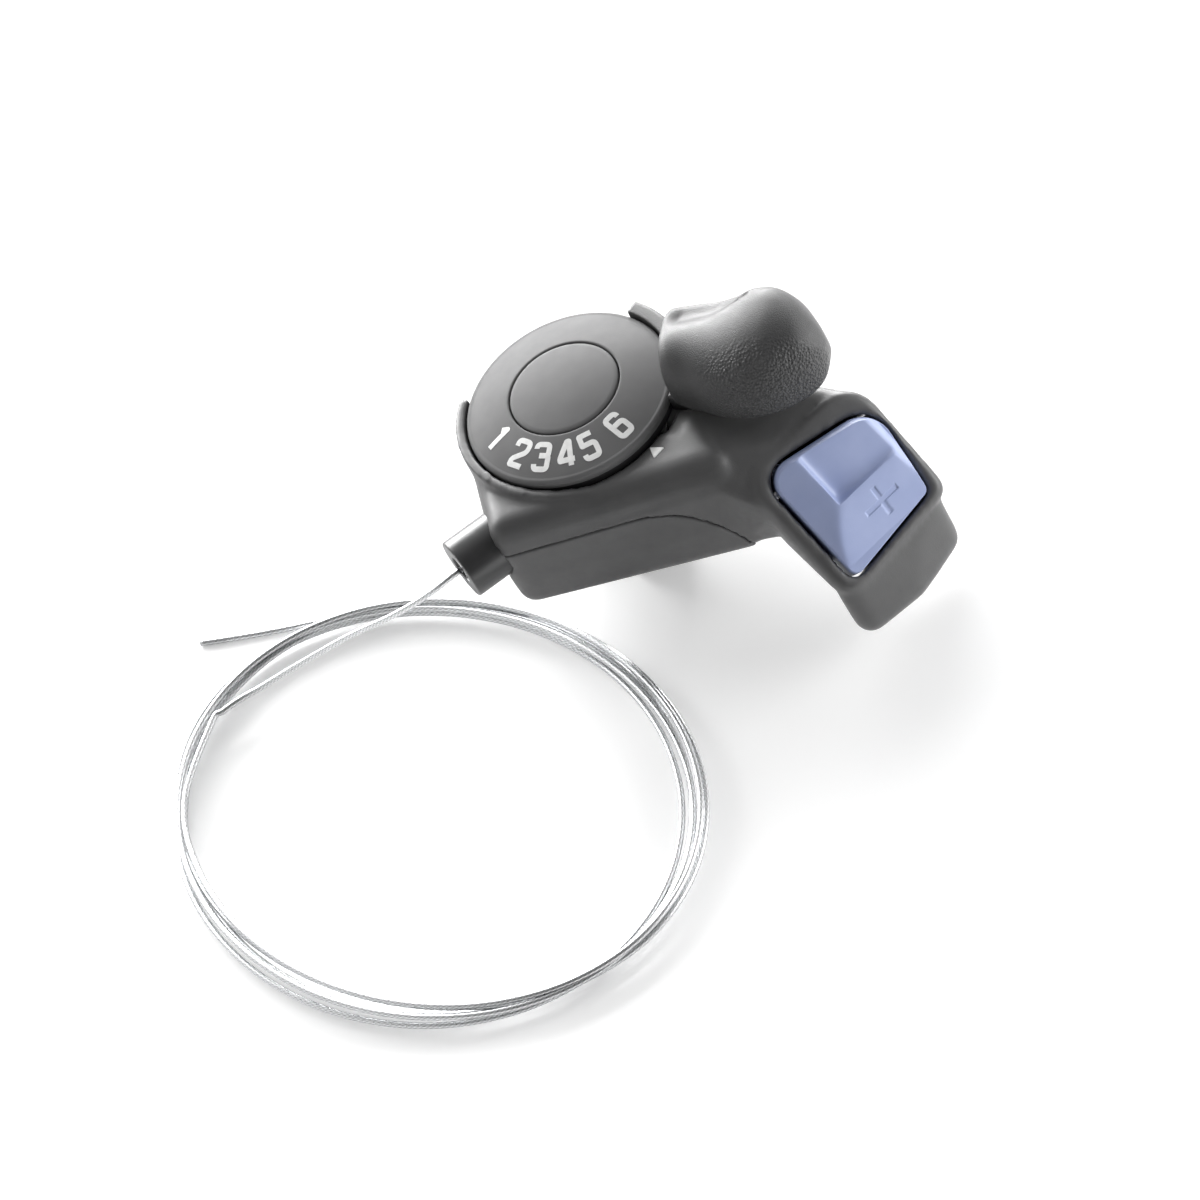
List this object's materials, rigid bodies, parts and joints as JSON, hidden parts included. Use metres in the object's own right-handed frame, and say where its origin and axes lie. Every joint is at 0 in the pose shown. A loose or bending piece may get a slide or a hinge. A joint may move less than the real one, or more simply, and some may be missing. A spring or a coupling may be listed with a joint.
{
  "type": "bicycle shifter",
  "caption": "Right-hand thumb shifter with a domed number dial, a thumb paddle, a blue release button, a cable stop and a coiled bare inner shift cable.",
  "frame": {"origin": "centre of the handlebar bore in the middle of the clamp band's width", "axes": "+X along the handlebar to the rider's right, +Z out of the dial, the rider towards -Y"},
  "size_m": [0.154, 0.132, 0.0592],
  "materials": {
    "black_plastic": "dark grey moulded plastic with soft highlights",
    "lever_plastic": "dark grey moulded plastic, fine leather grain on the sides",
    "dial_plastic": "satin grey moulded plastic",
    "blue_plastic": "pale lavender blue moulded plastic",
    "black_steel": "black coated steel",
    "zinc_steel": "zinc plated",
    "hard_steel": "hardened steel",
    "spring_steel": "drawn spring wire",
    "cable_steel": "bright stranded wire",
    "bush_brass": "turned",
    "natural_nylon": "natural nylon"
  },
  "bodies": {
    "housing": {"upper_housing": "black_plastic", "lower_cover": "black_plastic", "base_plate": "zinc_steel", "main_axle": "zinc_steel", "pawl_pin": "zinc_steel", "crank_pin": "zinc_steel", "axle_washer": "zinc_steel", "axle_nut": "zinc_steel", "button_pin": "hard_steel", "button_spring": "spring_steel", "cable_stop": "black_plastic", "cable_inner_run": "cable_steel", "clamp_band": "black_steel", "clamp_bolt": "black_steel", "clamp_nut": "zinc_steel", "housing_screws": "zinc_steel", "shift_cable_lead": "cable_steel", "shift_cable_coil": "cable_steel", "shift_cable_tail": "cable_steel"},
    "lever_unit": {"drum_bush": "bush_brass", "cable_drum": "natural_nylon", "ratchet_wheel": "hard_steel", "wave_washer": "hard_steel", "lever_plate": "zinc_steel", "thumb_lever": "lever_plastic", "number_dial": "dial_plastic", "centre_cap": "dial_plastic", "cable_nipple": "cable_steel"},
    "button": {"plus_button": "blue_plastic"},
    "crank": {"release_crank": "hard_steel"},
    "pawl": {"holding_pawl": "hard_steel", "pawl_spring": "spring_steel"}
  },
  "joints": [
    {"name": "shift_lever_turn", "type": "hinge", "parent": "housing", "child": "lever_unit", "pos_m": [0, 0, 0.027], "axis": [0, 0, 1], "range_deg": [0, 98]},
    {"name": "button_press", "type": "hinge", "parent": "housing", "child": "button", "pos_m": [0.0295, -0.03646, 0.01734], "axis": [0.9833, 0.1822, 0], "range_deg": [0, 6], "stiffness_Nm_per_rad": 0.3, "springref_deg": -2.86},
    {"name": "release_crank_turn", "type": "hinge", "parent": "housing", "child": "crank", "pos_m": [0.022, -0.027, 0.0112], "axis": [0, 0, 1], "range_deg": [0, 5.1]},
    {"name": "holding_pawl_turn", "type": "hinge", "parent": "housing", "child": "pawl", "pos_m": [-0.0024, -0.0168, 0.02], "axis": [0, 0, 1], "range_deg": [-4.2, 0]}
  ],
  "couplings": [
    {"joint": "release_crank_turn", "follows": "button_press", "ratio": 0.85},
    {"joint": "holding_pawl_turn", "follows": "button_press", "ratio": -0.7}
  ]
}
